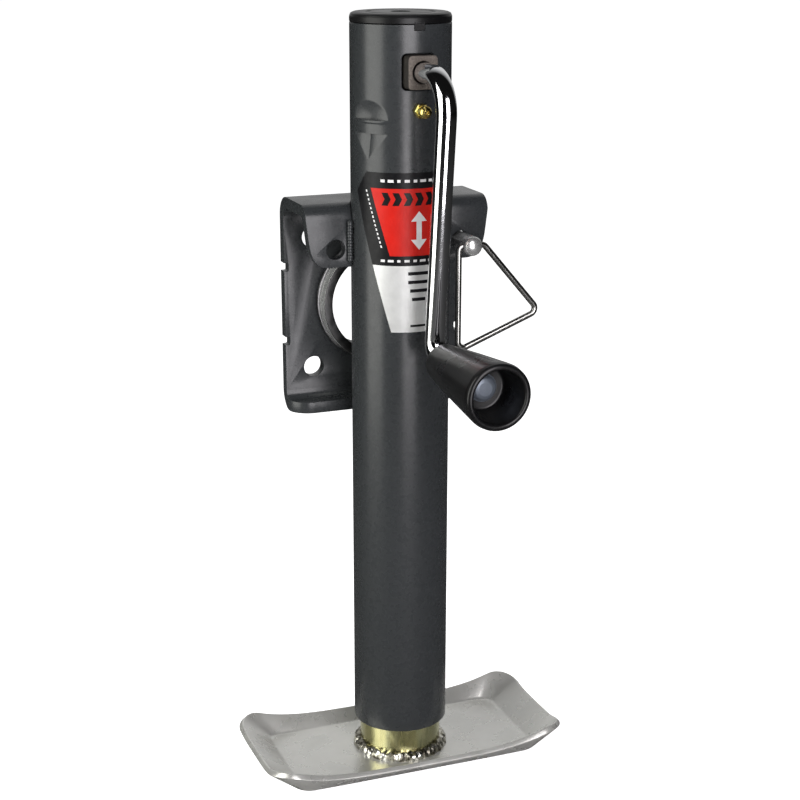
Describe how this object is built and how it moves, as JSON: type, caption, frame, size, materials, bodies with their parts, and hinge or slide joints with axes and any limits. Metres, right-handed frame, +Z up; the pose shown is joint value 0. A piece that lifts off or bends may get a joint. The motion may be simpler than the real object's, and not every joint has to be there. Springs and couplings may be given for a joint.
{
  "type": "trailer tongue jack",
  "caption": "Side-wind round trailer jack: crank-driven screw ram with a dished foot, on a swivel bracket that turns on a short weld-on pipe and locks with a pull pin.",
  "frame": {"origin": "On the ground under the tube's axis, at the middle of the foot's sole.", "axes": "+Z up along the tube, -Y towards the crank, +Y towards the trailer, +X to the lock pin's side."},
  "size_m": [0.1724, 0.186, 0.402],
  "materials": {
    "charcoal_paint": "semi-gloss powder coat",
    "chrome": "bright chrome plate",
    "zinc_plate": "satin zinc plate",
    "yellow_zinc": "yellow zinc plate",
    "dark_steel": "oiled steel",
    "sintered_iron": "sintered, oiled",
    "brass": "satin",
    "black_plastic": "moulded, glossy",
    "label_film": "printed film"
  },
  "bodies": {
    "trailer_mount": {"mount_pipe": "zinc_plate", "snap_ring": "dark_steel", "stop_washer": "zinc_plate"},
    "jack_body": {"outer_tube": "charcoal_paint", "top_cap": "black_plastic", "crank_bushing_front": "sintered_iron", "crank_bushing_rear": "sintered_iron", "grease_fitting": "brass", "bearing_seat": "dark_steel", "thrust_washer_upper": "dark_steel", "swivel_bracket": "charcoal_paint", "bracket_weld_left": "charcoal_paint", "bracket_weld_right": "charcoal_paint", "bracket_weld_lower": "charcoal_paint", "label_skin": "label_film"},
    "ram": {"inner_tube": "yellow_zinc", "lift_nut": "dark_steel", "foot_plate": "zinc_plate", "foot_weld": "zinc_plate"},
    "screw": {"lead_screw": "dark_steel", "screw_gear": "dark_steel", "gear_pin": "dark_steel", "thrust_washer_lower": "dark_steel"},
    "bearing": {"ball_cage": "brass"},
    "crank": {"crank_rod": "chrome", "crank_pinion": "dark_steel", "pinion_pin": "dark_steel", "crank_clip": "dark_steel", "grip_retainer": "zinc_plate"},
    "grip": {"handle_grip": "black_plastic"},
    "lock": {"lock_pin": "zinc_plate", "detent_ball": "dark_steel"},
    "ring": {"pull_ring": "zinc_plate"}
  },
  "joints": [
    {"name": "swivel", "type": "hinge", "parent": "trailer_mount", "child": "jack_body", "pos_m": [0, 0.04, 0.25], "axis": [0, 1, 0], "range_deg": [-90, 90]},
    {"name": "lift", "type": "slide", "parent": "jack_body", "child": "ram", "axis": [0, 0, -1], "range_m": [0, 0.254]},
    {"name": "crank_turn", "type": "hinge", "parent": "jack_body", "child": "crank", "pos_m": [0, -0.03, 0.375], "axis": [0, 1, 0], "range_deg": [0, 23040]},
    {"name": "screw_turn", "type": "hinge", "parent": "jack_body", "child": "screw", "pos_m": [0, 0, 0.34], "axis": [0, 0, -1], "range_deg": [0, 11520]},
    {"name": "bearing_roll", "type": "hinge", "parent": "jack_body", "child": "bearing", "pos_m": [0, 0, 0.3414], "axis": [0, 0, -1], "range_deg": [0, 5760]},
    {"name": "grip_spin", "type": "hinge", "parent": "crank", "child": "grip", "pos_m": [0, -0.09, 0.2377], "axis": [0, 1, 0], "continuous": true},
    {"name": "pin_pull", "type": "slide", "parent": "jack_body", "child": "lock", "axis": [0, -1, 0], "range_m": [0, 0.044]},
    {"name": "ring_swing", "type": "hinge", "parent": "lock", "child": "ring", "pos_m": [0.0343, -0.012, 0.2853], "axis": [-1, 0, 0], "range_deg": [-45, 100]}
  ],
  "couplings": [
    {"joint": "lift", "follows": "crank_turn", "m_per_rad": 0.00063165},
    {"joint": "screw_turn", "follows": "crank_turn", "ratio": 0.5},
    {"joint": "bearing_roll", "follows": "crank_turn", "ratio": 0.25}
  ]
}
